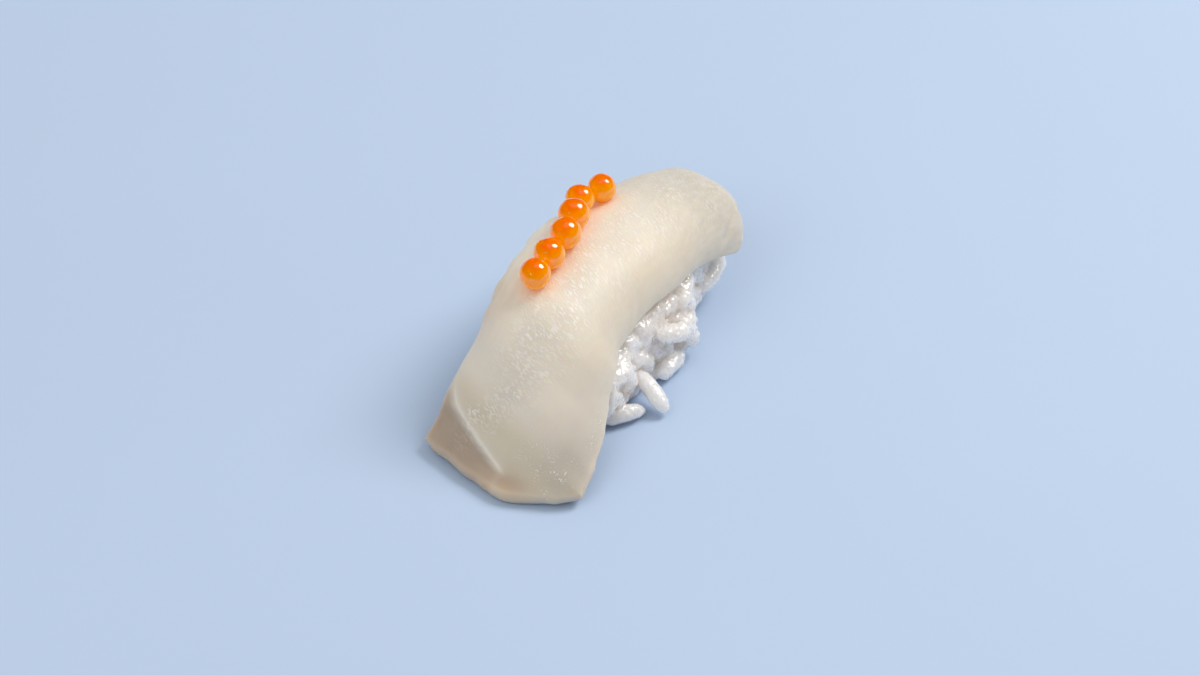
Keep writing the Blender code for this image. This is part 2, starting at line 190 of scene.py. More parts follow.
class Finish:
    """A material that is built from expressions."""

    def __init__(self, name):
        self.material = bpy.data.materials.new(name)
        self.material.use_nodes = True
        self.tree = self.material.node_tree
        self.shader = self.tree.nodes["Principled BSDF"]

    def node(self, kind, settings=None, output=None, **values):
        """A node of a type: its settings first, then the values or links of its sockets, by identifier."""
        node = self.tree.nodes.new(kind)
        for name, value in (settings or {}).items():
            setattr(node, name, value)
        slots = {slot.identifier: slot for slot in node.inputs}
        for name, value in values.items():
            self.plug(slots[name], value)
        given = {slot.identifier: slot for slot in node.outputs}
        return Wire(self.tree, given[output] if output else node.outputs[0])

    def plug(self, slot, value):
        """Set a socket, or link it to an expression."""
        if isinstance(value, Wire):
            self.tree.links.new(value.socket, slot)
        elif slot.type == "RGBA":
            slot.default_value = (*value, 1.0)
        else:
            slot.default_value = value

    def place(self):
        """Object coordinates."""
        return self.node("ShaderNodeTexCoord", output="Object")

    def attribute(self, name, output="Fac"):
        """A value or a vector that the mesh carries."""
        return self.node("ShaderNodeAttribute", {"attribute_name": name}, output=output)

    def scaled(self, vector, factors):
        """A vector times three factors."""
        return self.node("ShaderNodeMapping", Vector=vector, Scale=factors)

    def noise(self, vector, scale, detail=2.0, roughness=0.5, warp=0.0, output="Fac"):
        """Noise between 0 and 1, with its middle at 0.5."""
        return self.node("ShaderNodeTexNoise", output=output, Vector=vector, Scale=scale, Detail=detail,
                         Roughness=roughness, Distortion=warp)

    def mix(self, amount, first, second):
        """The first colour where amount is 0, the second where it is 1."""
        return self.node("ShaderNodeMix", {"data_type": "RGBA"}, output="Result_Color", Factor_Float=amount,
                         A_Color=first, B_Color=second)

    def bump(self, height, depth, strength=1.0, normal=None):
        """A normal from a height between 0 and 1 that stands for depth metres, laid on another normal."""
        under = {} if normal is None else {"Normal": normal}
        return self.node("ShaderNodeBump", Strength=strength, Distance=depth, Height=height, **under)

    def surface(self, **values):
        """Fill the Principled sockets, by name with underscores for spaces."""
        for name, value in values.items():
            self.plug(self.shader.inputs[name.replace("_", " ")], value)
        return self.material


# ---- meshes

def in_metres(points):
    """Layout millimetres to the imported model's metres."""
    return (np.asarray(points, float) - PIECE_CENTRE) * MM


def new_mesh(name, points, groups):
    """A mesh from layout points and groups of faces."""
    mesh = bpy.data.meshes.new(name)
    mesh.from_pydata(in_metres(points).tolist(), [], [face for group in groups for face in group.tolist()])
    return mesh


def placed(name, data):
    """A new object in the scene."""
    thing = bpy.data.objects.new(name, data)
    bpy.context.scene.collection.objects.link(thing)
    return thing


def new_piece(name, points, faces, finish, attributes=None):
    """A smooth mesh object from layout points and faces, with values per point for its material."""
    mesh = new_mesh(name, points, faces)
    mesh.shade_smooth()
    for key, values in (attributes or {}).items():
        kind, part = ("FLOAT_VECTOR", "vector") if values.ndim == 2 else ("FLOAT", "value")
        field = mesh.attributes.new(key, kind, "POINT")
        field.data.foreach_set(part, values.astype(np.float32).ravel())
    mesh.materials.append(finish)
    mesh.validate()
    piece = placed(name, mesh)
    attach(piece, "root")
    return piece


def quads_of(number):
    """Quads between the neighbours of a grid of point numbers."""
    return np.stack((number[:-1, :-1], number[1:, :-1], number[1:, 1:], number[:-1, 1:]), -1).reshape(-1, 4)


def grid_faces(rows, columns, wrap=False):
    """Quads of a grid of points in row order. With wrap, the last column joins the first."""
    number = np.arange(rows * columns).reshape(rows, columns)
    return quads_of(np.concatenate((number, number[:, :1]), 1) if wrap else number)


def ball_directions(turns, rings):
    """Unit directions of a ball: the lower pole, rings from low to high, and the upper pole."""
    height = -np.cos(np.pi * np.arange(1, rings + 1) / (rings + 1))
    angle = 2 * np.pi * np.arange(turns) / turns
    flat = np.sqrt(1 - height ** 2)
    ring = np.stack((flat[:, None] * np.cos(angle), flat[:, None] * np.sin(angle),
                     np.broadcast_to(height[:, None], (rings, turns))), -1).reshape(-1, 3)
    return np.concatenate(([(0.0, 0.0, -1.0)], ring, [(0.0, 0.0, 1.0)]))


def ball_faces(turns, rings):
    """Faces of ball_directions, pointing outwards: two fans and the quads between them."""
    quads = grid_faces(rings, turns, wrap=True)[:, ::-1] + 1
    first = np.arange(turns)
    following = (first + 1) % turns
    last = rings * turns + 1
    low = np.stack((np.zeros(turns, int), following + 1, first + 1), -1)
    high = np.stack((np.full(turns, last), first + last - turns, following + last - turns), -1)
    return quads, low, high


def normed(vectors):
    """Vectors divided by their own lengths."""
    return vectors / np.linalg.norm(vectors, axis=-1, keepdims=True)


def along(stations, table):
    """Smooth curve through the table's pairs: from one pair to the next it follows 3t² - 2t³."""
    value = np.full(np.shape(stations), float(table[0][1]))
    for (start, low), (end, high) in zip(table, table[1:]):
        value = value + (high - low) * eased((stations - start) / (end - start))
    return value


def hill(x):
    """A bell of height 1: exp(-x²)."""
    return np.exp(-x ** 2)


def eased(t):
    """3t² - 2t³ with t held between 0 and 1."""
    t = np.clip(t, 0.0, 1.0)
    return t * t * (3 - 2 * t)


def quarter_round(t):
    """Height of a quarter circle of radius 1 at the distance t from its edge, 1 beyond it."""
    t = np.clip(t, 0.0, 1.0)
    return np.sqrt(t * (2 - t))


def soft_noise(x, y, seed, pitch, octaves=3):
    """Smooth noise of about -1 to 1: sums of slanted sines whose pitch halves from one to the next."""
    draw = np.random.default_rng(seed)
    total = 0.0
    for octave in range(octaves):
        for _ in range(4):
            angle, phase = draw.uniform(0, 2 * np.pi, 2)
            wave = 2 * np.pi / (pitch * draw.uniform(0.75, 1.3)) * 2 ** octave
            total = total + np.sin(wave * (x * np.cos(angle) + y * np.sin(angle)) + phase) / 2 ** octave
    return total / 4


def space_noise(points, seed, pitch, octaves=2):
    """Smooth noise of about -1 to 1 in space: sums of plane sines whose pitch halves each time."""
    draw = np.random.default_rng(seed)
    total = 0.0
    for octave in range(octaves):
        for _ in range(6):
            way = draw.normal(size=3)
            way *= 2 * np.pi * 2 ** octave / (pitch * draw.uniform(0.75, 1.3) * np.linalg.norm(way))
            total = total + np.sin(points @ way + draw.uniform(0, 2 * np.pi)) / 2 ** octave
    return total / 4.5


# ---- the slice

# By station, the distance from the near end: the width, the ridge's pitch and the roll to its left and right
# in degrees, and the ridge's distance from the left edge and its place across.
SLICE_WIDTH = ((0, 28.0), (20, 27.4), (40, 26.2), (56, 26.6), (70, 27.4))
SLICE_PITCH = ((0, 4), (6.5, 47), (20, 49), (37, 5), (54, -4), (68, -21), (80, -33), (90, -50))
LEFT_FALL = ((0, 0), (10, 18), (24, 46), (36, 40), (48, 28), (58, 34), (66, 44), (76, 55))
RIGHT_FALL = ((0, 4), (24, 72), (38, 79), (58, 82), (76, 72))
RIDGE_FROM_LEFT = ((0, 12.6), (18, 10.4), (34, 9.6), (50, 11.4), (66, 12.5))
RIDGE_SIDE = ((0, -1.4), (20, 1.0), (38, 2.3), (60, 0.4), (88, 0.1))
# X and Z of the near end, the waves' factors of station and offset, and their height.
SLICE_START = (-39.0, 1.2)
SLICE_WAVES = ((0.55, 0.30), (0.23, -0.45))
WAVE_HEIGHT = 0.12
# The distance from the ridge where the roll is full, and the steps along the ridge and down from it.
LEFT_BEND = 9.0
RIGHT_BEND = 15.0
RIDGE_STEPS = 500
ROLL_STEPS = 24
# The near tip's place across, and how far the edge falls back to its left and right.
NEAR_TIP = 0.6
NEAR_CUTS = (4.1, 5.2)
# How far the far edge falls back at its ends and corners, the power of their rounding, and the notch's place
# across, reach and depth.
FAR_CUTS = (2.2, 6.6)
FAR_CORNERS = (8.0, 5.0)
CORNER_POWER = 3.2
NOTCH = (0.765, 0.022, 0.55)
# First and last station and pitch of the left edge's lobes.
LOBES = (22.5, 54.0, 6.3)
# Station and offset of the points of the white seam, and of the crease in from the notch.
SEAM_LINE = ((3.0, 16.3), (5.2, 13.6), (6.4, 11.6), (7.5, 9.6), (9.2, 7.0), (11.4, 3.8), (13.7, 1.8),
             (19, 0.0))
CREASE = ((68.3, 24.2), (73.4, 20.9))
CELLS_LONG = 540
CELLS_WIDE = 88


def slice_middle(station, offset, extent):
    """Middle surface of the slice, from the distance along it and the distance from its left edge.

    The ridge is the sum of short steps along the pitch. From it the sheet rolls down to both sides: the
    roll grows with 3t² - 2t³ of the way from the ridge, and is laid in the plane square to the ridge.
    """
    fine = np.linspace(0.0, extent, RIDGE_STEPS)
    pitch = np.radians(along(fine, SLICE_PITCH))
    run, rise = (np.concatenate(([0.0], np.cumsum((part[1:] + part[:-1]) * fine[1] / 2)))
                 for part in (np.cos(pitch), np.sin(pitch)))
    x = np.interp(station, fine, SLICE_START[0] + run)
    z = np.interp(station, fine, SLICE_START[1] + rise)
    pitch = np.interp(station, fine, pitch)
    away = offset - along(station, RIDGE_FROM_LEFT)
    side = 0.0
    drop = 0.0
    for part in (np.arange(ROLL_STEPS) + 0.5) / ROLL_STEPS:
        way = away * part
        roll = np.where(way > 0, np.radians(along(station, RIGHT_FALL)) * eased(way / RIGHT_BEND),
                        -np.radians(along(station, LEFT_FALL)) * eased(-way / LEFT_BEND))
        side = side + np.cos(roll) * away / ROLL_STEPS
        drop = drop + np.sin(roll) * away / ROLL_STEPS
    wave = sum(np.sin(a * station + b * offset) for a, b in SLICE_WAVES)
    height = WAVE_HEIGHT * wave * eased(station / 12) - drop
    return np.stack((x - np.sin(pitch) * height, along(station, RIDGE_SIDE) - side,
                     z + np.cos(pitch) * height), -1)


def slice_outline(long_way, cross_way, extent):
    """Station and offset of a point of the cut slice, from its two ways through it, 0 to 1 each.

    The near edge is a blunt point, the far edge is skewed with rounded corners and a small notch, the left
    edge bulges in lobes beside the roe, and small noise makes each cut a little ragged.
    """
    left_of_tip = cross_way < NEAR_TIP
    from_tip = np.where(left_of_tip, 1 - cross_way / NEAR_TIP, (cross_way - NEAR_TIP) / (1 - NEAR_TIP))
    near = np.where(left_of_tip, *NEAR_CUTS) * from_tip ** 1.25
    near = near + 0.16 * soft_noise(cross_way * 28, 0, 3, 5.0, 4)
    far = extent - FAR_CUTS[0] * (1 - cross_way) - FAR_CUTS[1] * cross_way
    place, reach, depth = NOTCH
    far = far - depth * hill((cross_way - place) / reach) + 0.10 * soft_noise(cross_way * 28, 9, 4, 6.0)
    rounding = 1 - (1 - np.abs(2 * cross_way - 1) ** CORNER_POWER) ** (1 / CORNER_POWER)
    cut_back = long_way ** 8 * np.where(cross_way < 0.5, *FAR_CORNERS) * rounding
    station = near + long_way * (far - near) - cut_back
    first, last, pitch = LOBES
    lobes = np.sqrt(np.sin(np.pi * (station - first) / pitch) ** 2 + 0.04)
    inside = eased((station - first) / 3) * eased((last - station) / 3)
    straight = eased((70.0 - station) / 8)
    ragged = 0.10 * soft_noise(station, 5, 6, 6.0, 3) * straight
    bulge = (0.95 * (lobes - 0.55) * inside + ragged) * (1 - cross_way) ** 4
    right_edge = 0.14 * soft_noise(station, 0, 8, 5.0, 3) * straight * cross_way ** 6
    return station, cross_way * along(station, SLICE_WIDTH) - bulge + right_edge


def crowded(ways, share):
    """Ways from 0 to 1 that crowd towards both ends: a share of a cosine's half wave, the rest even."""
    return (1 - share) * ways + share * (0.5 - 0.5 * np.cos(np.pi * ways))


def slice_sheet(extent, long_ways, cross_ways, width=None):
    """The slice's middle on a grid of ways: stations, offsets, points, unit normals and edge distances."""
    long_way, cross_way = np.meshgrid(long_ways, cross_ways, indexing="ij")
    station, offset = slice_outline(long_way, cross_way, extent)
    middle = slice_middle(station, offset, extent)
    normal = normed(np.cross(np.gradient(middle, axis=1), np.gradient(middle, axis=0)))
    edge = np.minimum(np.minimum(cross_way, 1 - cross_way) * (width or along(station, SLICE_WIDTH)),
                      np.minimum(long_way, 1 - long_way) * extent)
    return station, offset, middle, normal, edge


def distance_to_line(station, offset, line):
    """Distance to a broken line of (station, offset) points, and the way along it from 0 to 1."""
    best = np.full(np.shape(station), 1e9)
    way = np.zeros(np.shape(station))
    count = len(line) - 1
    for number, ((s0, q0), (s1, q1)) in enumerate(zip(line, line[1:])):
        span = (s1 - s0) ** 2 + (q1 - q0) ** 2
        t = np.clip(((station - s0) * (s1 - s0) + (offset - q0) * (q1 - q0)) / span, 0, 1)
        away = np.hypot(station - s0 - t * (s1 - s0), offset - q0 - t * (q1 - q0))
        way = np.where(away < best, (number + t) / count, way)
        best = np.minimum(best, away)
    return best, way


def flesh_relief(station, offset, edge):
    """Height of the flesh over the smooth slice, in millimetres.

    Slanted muscle bands 4.1 mm apart, slow swells, a raised white seam by the near left corner with a
    shallow trough beside it, and a crease in from the notch, each exp(-d²) of the distance to its line in
    widths. Everything fades within 0.9 mm of the edge.
    """
    slant = station + 0.45 * offset
    bands = np.sin(2 * np.pi * (slant + 1.2 * soft_noise(station, offset, 21, 14.0, 2)) / 4.1)
    seam, way = distance_to_line(station, offset, SEAM_LINE)
    seam_height = 0.08 * hill(seam / 0.34) * eased(way / 0.15) * eased((1 - way) / 0.25)
    trough, _ = distance_to_line(station + 1.3, offset + 0.9, SEAM_LINE)
    crease, _ = distance_to_line(station, offset, CREASE)
    height = 0.018 * bands + 0.045 * soft_noise(station, offset, 24, 11.0, 3)
    height = height + seam_height - 0.12 * hill(trough / 1.3) - 0.28 * hill(crease / 0.7)
    return height * eased(edge / 0.9)


def two_sheets(upper, lower):
    """Values of the upper sheet's points, then of the lower sheet's without the rim that they share."""
    each = upper.shape[2:]
    return np.concatenate((upper.reshape(-1, *each), lower[1:-1, 1:-1].reshape(-1, *each)))


def slice_body(settings):
    """Points, faces and values of the closed slice: two sheets that meet at the rim.

    Each sheet is the middle surface moved along its normal by half the thickness, which rises from the rim
    in a small quarter round and on in a wide one.
    """
    extent = settings.extent / MM
    station, offset, middle, normal, edge = slice_sheet(
        extent, crowded(np.linspace(0, 1, CELLS_LONG + 1), 0.55),
        crowded(np.linspace(0, 1, CELLS_WIDE + 1), 0.75))
    rim = settings.rim / MM / 2
    full = settings.thickness / MM / 2
    half = rim * quarter_round(edge / rim) + (full - rim) * quarter_round(edge / (settings.taper / MM))
    above = middle + normal * (half + flesh_relief(station, offset, edge))[..., None]
    uneven = 0.05 * soft_noise(station, offset, 31, 5.0, 3) * eased(edge)
    below = middle - normal * (half + uneven)[..., None]
    above[0], above[-1] = middle[0], middle[-1]
    above[:, 0], above[:, -1] = middle[:, 0], middle[:, -1]
    rows, columns = edge.shape
    upper = grid_faces(rows, columns)[:, ::-1]
    number = np.arange(rows * columns).reshape(rows, columns)
    number[1:-1, 1:-1] = np.arange((rows - 2) * (columns - 2)).reshape(rows - 2, -1) + rows * columns
    seam, way = distance_to_line(station, offset, SEAM_LINE)
    white = 0.65 * hill(seam / 0.28) + (0.55 - 0.25 * way) * hill(seam / 1.25)
    brown = eased((along(station, SEAM_LINE) - offset) / 3.0 + 0.1) * eased((15.5 - station) / 6)
    values = {
        "flesh_way": np.stack((station, offset, edge), -1),
        "seam": white * eased(way / 0.12) * eased((1 - way) / 0.3),
        "seam_side": np.maximum(brown, bells(station, offset, (0.9, 2.0, 17.0, 2.4, 4.0))),
        # painted light: orange that the pearls throw on the flesh
        "glow": painted_roe_light(above),
        # where the strokes are bumped and carry painted highlights
        "band": highlight_band(station, offset),
        # painted shade on the thin near right corner
        "thin": bells(station, offset, (1.0, 9.5, 25.5, 8.5, 7.0)),
        "wet": wet_patch(station, offset),
        "blush": bells(station, offset, (0.2, 2.0, 16.5, 2.6, 4.0), (0.7, 28.5, 0.8, 7.0, 4.0)),
    }
    values = {name: two_sheets(value, value) for name, value in values.items()}
    return two_sheets(above, below), (upper, quads_of(number)), values


def bells(station, offset, *spots):
    """Sum of soft spots: a height times exp(-a² - b²) of the distances from a place, in reaches."""
    return sum(height * np.exp(-((station - s) / long_reach) ** 2 - ((offset - q) / wide_reach) ** 2)
               for height, s, q, long_reach, wide_reach in spots)


def highlight_band(station, offset):
    """Where the short strokes are clearest and carry painted highlights.

    exp(-x²) of the offset from a line in reaches, in patches.
    """
    middle = along(station, ((0, 5.0), (10, 8.5), (16, 12.0), (27, 13.0), (60, 14.5)))
    reach = along(station, ((8, 2.6), (24, 4.0), (40, 4.8), (70, 7.0)))
    strength = along(station, ((4, 0.3), (10, 0.95), (18, 0.85), (28, 1.0), (42, 0.8), (62, 0.45),
                               (80, 0.35)))
    patches = 0.7 + 0.6 * soft_noise(station, offset, 61, 5.5, 2)
    return hill((offset - middle) / reach) * strength * np.clip(patches, 0.1, 1.3)


def wet_patch(station, offset):
    """Where drops sit, their tops painted as sparkle: soft spots by the near right corner and along the
    right edge, broken by noise.
    """
    spots = bells(station, offset, (1.0, 6.0, 22.6, 2.6, 2.4), (0.5, 15.0, 25.5, 5.0, 1.3),
                  (0.35, 9.5, 17.5, 3.5, 3.0))
    return spots * eased(0.5 + 0.9 * soft_noise(station, offset, 62, 2.6, 2))


def pearl_ball(name, axis):
    """Middle of a pearl's box in the layout, and half the box's size along an axis."""
    low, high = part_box(name)
    return np.array((low + high) / 2) / MM + PIECE_CENTRE, (high - low)[axis] / MM / 2


def painted_roe_light(points):
    """Painted orange light from the pearls on a point: exp(-(d / 1.9)^1.4) of the gap d, summed up to 1.2.
    """
    glow = 0.0
    for name in PEARLS:
        centre, radius = pearl_ball(name, 0)
        away = np.linalg.norm(points - centre, axis=-1) - radius
        glow = glow + np.exp(-(np.maximum(away, 0) / 1.9) ** 1.4)
    return np.minimum(glow, 1.2)


BLUSH_TINT = (0.62, 0.38, 0.20)
RIM_TINT = (0.78, 0.66, 0.56)
# Painted light: orange thrown by the pearls on the flesh
PAINTED_ROE_LIGHT_TINT = (1.0, 0.55, 0.24)
FIBRE_TINT = (0.92, 0.88, 0.78)
# Painted shade between the strokes
PAINTED_STROKE_SHADE = (0.55, 0.46, 0.38)
# Painted highlight on the strokes
PAINTED_STROKE_HIGHLIGHT = (1.0, 0.97, 0.95)
# Painted highlight: sparkle on the drops
PAINTED_SPARKLE_TINT = (1.0, 1.0, 0.98)


def flesh_finish(settings):
    """Wet, translucent raw flesh: tints along the slice, fine strokes in the gloss, a white seam.

    Painted light on it: highlights on the strokes with shade between them, sparkle on the drops, orange
    light from the roe, and shade on the thin near right corner.
    """
    made = Finish("raw halibut")
    way = made.attribute("flesh_way", "Vector")
    station, offset, edge = (made.node("ShaderNodeSeparateXYZ", output=part, Vector=way) for part in "XYZ")
    cloud = made.noise(way, 0.16, 3.0, 0.55)
    fibre = made.noise(made.scaled(way, (0.30, 1.1, 0.0)), 1.0)
    near = 1.0 - (station + 0.35 * offset).rise(13.5, 19.5)
    flank = offset.rise(14.0, 22.0) * station.rise(12.0, 30.0)
    tone = made.mix(near * (0.8 + 0.4 * cloud), settings.flesh, settings.cool)
    tone = made.mix(flank * (0.6 + 0.4 * fibre), tone, settings.warm)
    tone = made.mix(station.rise(48.0, 70.0) * 0.85, tone, settings.far)
    for name, least, share, tint in (("seam_side", 0.70, 0.4, settings.skin_side),
                                     # painted shade on the thin near right corner
                                     ("thin", 0.52, 0.30, settings.thin),
                                     ("blush", 0.5, 0.5, BLUSH_TINT),
                                     ("seam", 0.45, 0.4, settings.seam)):
        tone = made.mix(made.attribute(name) * (least + share * cloud), tone, tint)
    tone = made.mix((1.0 - edge.rise(0.2, 1.5)) * 0.20, tone, RIM_TINT)
    # Painted light: orange that the pearls throw on the flesh near them
    tone = made.mix(made.attribute("glow") * 0.30, tone, PAINTED_ROE_LIGHT_TINT)
    tone = made.mix(((fibre - 0.5) * 0.5 + 0.12) * station.rise(12.0, 30.0), tone, FIBRE_TINT)
    band = made.attribute("band") * (1.0 - 0.6 * made.attribute("seam_side"))
    across = made.node("ShaderNodeCombineXYZ", X=station + 0.47 * offset, Y=0.42 * offset)
    strokes = made.noise(across, MM / settings.stroke_pitch, 1.0, warp=0.7).rise(0.51, 0.61) * band
    drops = made.noise(way, 2.6, 1.0).rise(0.58, 0.70) * made.attribute("wet")
    streaks = made.noise(made.scaled(way, (1.1, 0.08, 0.0)), 1.0) * station.rise(16.0, 40.0)
    # Painted shade: darker between the strokes where they carry painted highlights
    tone = made.mix((band - strokes) * 0.12, tone, PAINTED_STROKE_SHADE)
    # Painted highlight: the strokes are painted near white
    tone = made.mix(strokes * 0.60, tone, PAINTED_STROKE_HIGHLIGHT)
    # Painted highlight: the tops of the drops are painted near white as sparkle
    tone = made.mix(drops * 0.8, tone, PAINTED_SPARKLE_TINT)
    film = made.noise(way, 0.45)
    normal = made.bump(strokes, 0.00012, 0.9)
    normal = made.bump(streaks, 0.00010, 0.12, normal)
    normal = made.bump(drops, 0.00012, 1.0, normal)
    return made.surface(
        Base_Color=tone, Roughness=0.44 + 0.10 * film - 0.20 * strokes - 0.30 * drops, Subsurface_Weight=1.0,
        Subsurface_Radius=(1.0, 0.76, 0.52), Subsurface_Scale=0.0035, IOR=1.40, Normal=normal)


# ---- the rice

# The core: its middle, half sizes, depth below the ground before it is cut flat, power of its rounding,
# fullness on the right by x, and the place, height and reach of the bulge there.
RICE_CENTRE = np.array((-0.6, -0.4, 0.0))
RICE_HALF = np.array((26.0, 10.6, 10.4))
RICE_SINK = 1.2
RICE_SQUARENESS = 3.4
RICE_RIGHT = ((-26, 0.9), (-14, 1.0), (7, 1.02), (12.5, 0.74), (26, 0.66))
RICE_BULGE = (np.array((3.4, -10.5, 6.0)), 3.2, 3.85)
# Start, end and width of the grains that are listed one by one. The first few lie free, and keep their own
# shape.
LOOSE_GRAINS = (
    ((-6.3, -10.6, 4.4), (-8.7, -16.6, 1.7), 3.1),
    ((-15.6, -10.2, 1.7), (-10.6, -13.6, 1.6), 2.9),
    ((16.6, -8.4, 4.6), (24.4, -7.6, 5.6), 2.9),
    ((4.2, -12.2, 8.2), (6.6, -12.8, 2.6), 3.2),
    ((-1.2, -11.6, 9.0), (3.6, -13.4, 7.4), 3.2),
    ((-2.4, -12.2, 2.0), (4.0, -12.0, 1.8), 3.0),
)
FREE_GRAINS = 3
# Points round, and rings between the poles.
GRAIN_GRID = (9, 6)
CORE_GRID = (96, 47)
PEARL_GRID = (56, 34)
OIL_GRID = (32, 18)
# Samples along and across the slice, and its mean width.
SHADE_GRID = (90, 36)
SHADE_WIDTH = 27
# Gap under the slice, the band above the ground that takes up what would sink, and points looked up at once.
PRESS_GAP = 0.55
GROUND_BAND = 0.3
SAMPLES_AT_ONCE = 2000
GRAINS_AT_ONCE = 3000


class SliceShade:
    """The slice as a cloud of samples, to press the rice down and to keep the grains clear."""

    def __init__(self, settings):
        long_ways, cross_ways = (np.linspace(0, 1, steps) for steps in SHADE_GRID)
        _, _, middle, normal, edge = slice_sheet(settings.extent / MM, long_ways, cross_ways, SHADE_WIDTH)
        self.up = normal.reshape(-1, 3)
        self.points = middle.reshape(-1, 3)
        full, rim = settings.thickness / MM, settings.rim / MM
        self.half = ((rim + (full - rim) * quarter_round(edge / (settings.taper / MM))) / 2).reshape(-1)

    def nearest(self, points):
        """Index of the nearest sample for each point: the least |sample|²/2 - sample · point."""
        half_square = (self.points ** 2).sum(-1).astype(np.float32) / 2
        samples = self.points.T.astype(np.float32)
        found = [np.argmin(half_square - chunk.astype(np.float32) @ samples, 1)
                 for chunk in np.array_split(points, len(points) // SAMPLES_AT_ONCE + 1)]
        return np.concatenate(found)

    def press(self, points, gap):
        """Points moved down along the slice's normal until they lie a gap below it, fading beside it."""
        for _ in range(3):
            index = self.nearest(points)
            up = self.up[index]
            away = points - self.points[index]
            height = (away * up).sum(-1)
            sideways = np.linalg.norm(away - height[:, None] * up, axis=-1)
            need = (self.half[index] + gap) * (1 - eased((sideways - 1.0) / 3.0))
            points = points - up * np.where(height > -need, height + need, 0.0)[:, None]
        return points

    def inside_left(self, points, radius):
        """Whether each row's balls are right of y = -4, or of the slice's left outline from the front."""
        across, rise = self.points @ FRONT_RIGHT, self.points @ FRONT_UP
        levels = np.linspace(rise.min(), rise.max(), 60)
        near = np.abs(rise - levels[:, None]) < 0.7
        outline = np.where(near, across, 1e9).min(1)
        limit = np.interp(points @ FRONT_UP, levels, outline) + 0.8
        return ((points @ FRONT_RIGHT - radius > limit) | (points[..., 1] < -4)).all(-1)

    def touched(self, centre, radius):
        """The place of a ball that is moved square to the slice until it just touches it."""
        index = self.nearest(centre[None])[0]
        up = self.up[index]
        return centre - up * ((centre - self.points[index]) @ up - self.half[index] - radius)

    def gap_below(self, points):
        """Distance from each point to the slice's body, negative inside it."""
        index = self.nearest(points)
        return np.linalg.norm(points - self.points[index], axis=-1) - self.half[index]


def rice_surface(directions, shade=None, inset=0.0):
    """Surface of the bare core in each direction.

    A rounded block |x|^p + |y|^p + |z|^p = 1 with a bell-shaped bulge exp(-d² / 2r²) on the right, pressed
    down by the slice if one is given, flat where it stands, and drawn in by an inset.
    """
    share = (np.abs(directions) ** RICE_SQUARENESS).sum(-1, keepdims=True) ** (1 / RICE_SQUARENESS)
    points = directions / share * (RICE_HALF - inset)
    right = directions[:, 1] < 0
    points[:, 1] *= np.where(right, along(points[:, 0], RICE_RIGHT), 1.0)
    points += RICE_CENTRE + np.array((0, 0, RICE_HALF[2] - RICE_SINK))
    place, reach, spread = RICE_BULGE
    hump = np.exp(-((points - place) ** 2).sum(-1) / (2 * spread ** 2))
    points[:, 1] -= np.where(right, reach * hump, 0.0)
    if shade:
        points = shade.press(points, PRESS_GAP + inset)
    points[:, 2] = np.maximum(points[:, 2], 0.4 * inset)
    return points


def grain_bodies(middle, axis, up, size, bend, lean):
    """Points of many grains at once, as an array of grains by points.

    Along a grain, x goes from -1 to 1 and the half width follows (1 - |x|^2.6)^(1/2), fuller at one end by
    its lean. The grain is 0.9 as high as wide, and bends down and to the side with x².
    """
    unit = ball_directions(*GRAIN_GRID)[:, [2, 0, 1]]
    x = np.sign(unit[:, 0]) * np.abs(unit[:, 0]) ** 0.86
    flat = np.hypot(unit[:, 1], unit[:, 2])
    width = np.sqrt(np.clip(1 - np.abs(x) ** 2.6, 0, 1)) / np.maximum(flat, 1e-6)
    axis = normed(axis)
    up = normed(up - (up * axis).sum(-1, keepdims=True) * axis)
    side = np.cross(up, axis)
    long_size, wide_size = size[:, 0:1], size[:, 1:2]
    fullness = width * (1 + lean[:, None] * x)
    a = x * long_size / 2
    b = unit[:, 1] * fullness * wide_size / 2 + bend[:, 1:2] * (x ** 2 - 0.35)
    c = unit[:, 2] * fullness * wide_size * 0.45 - bend[:, 0:1] * (x ** 2 - 0.35)
    return (middle[:, None] + a[..., None] * axis[:, None] + b[..., None] * side[:, None]
            + c[..., None] * up[:, None])


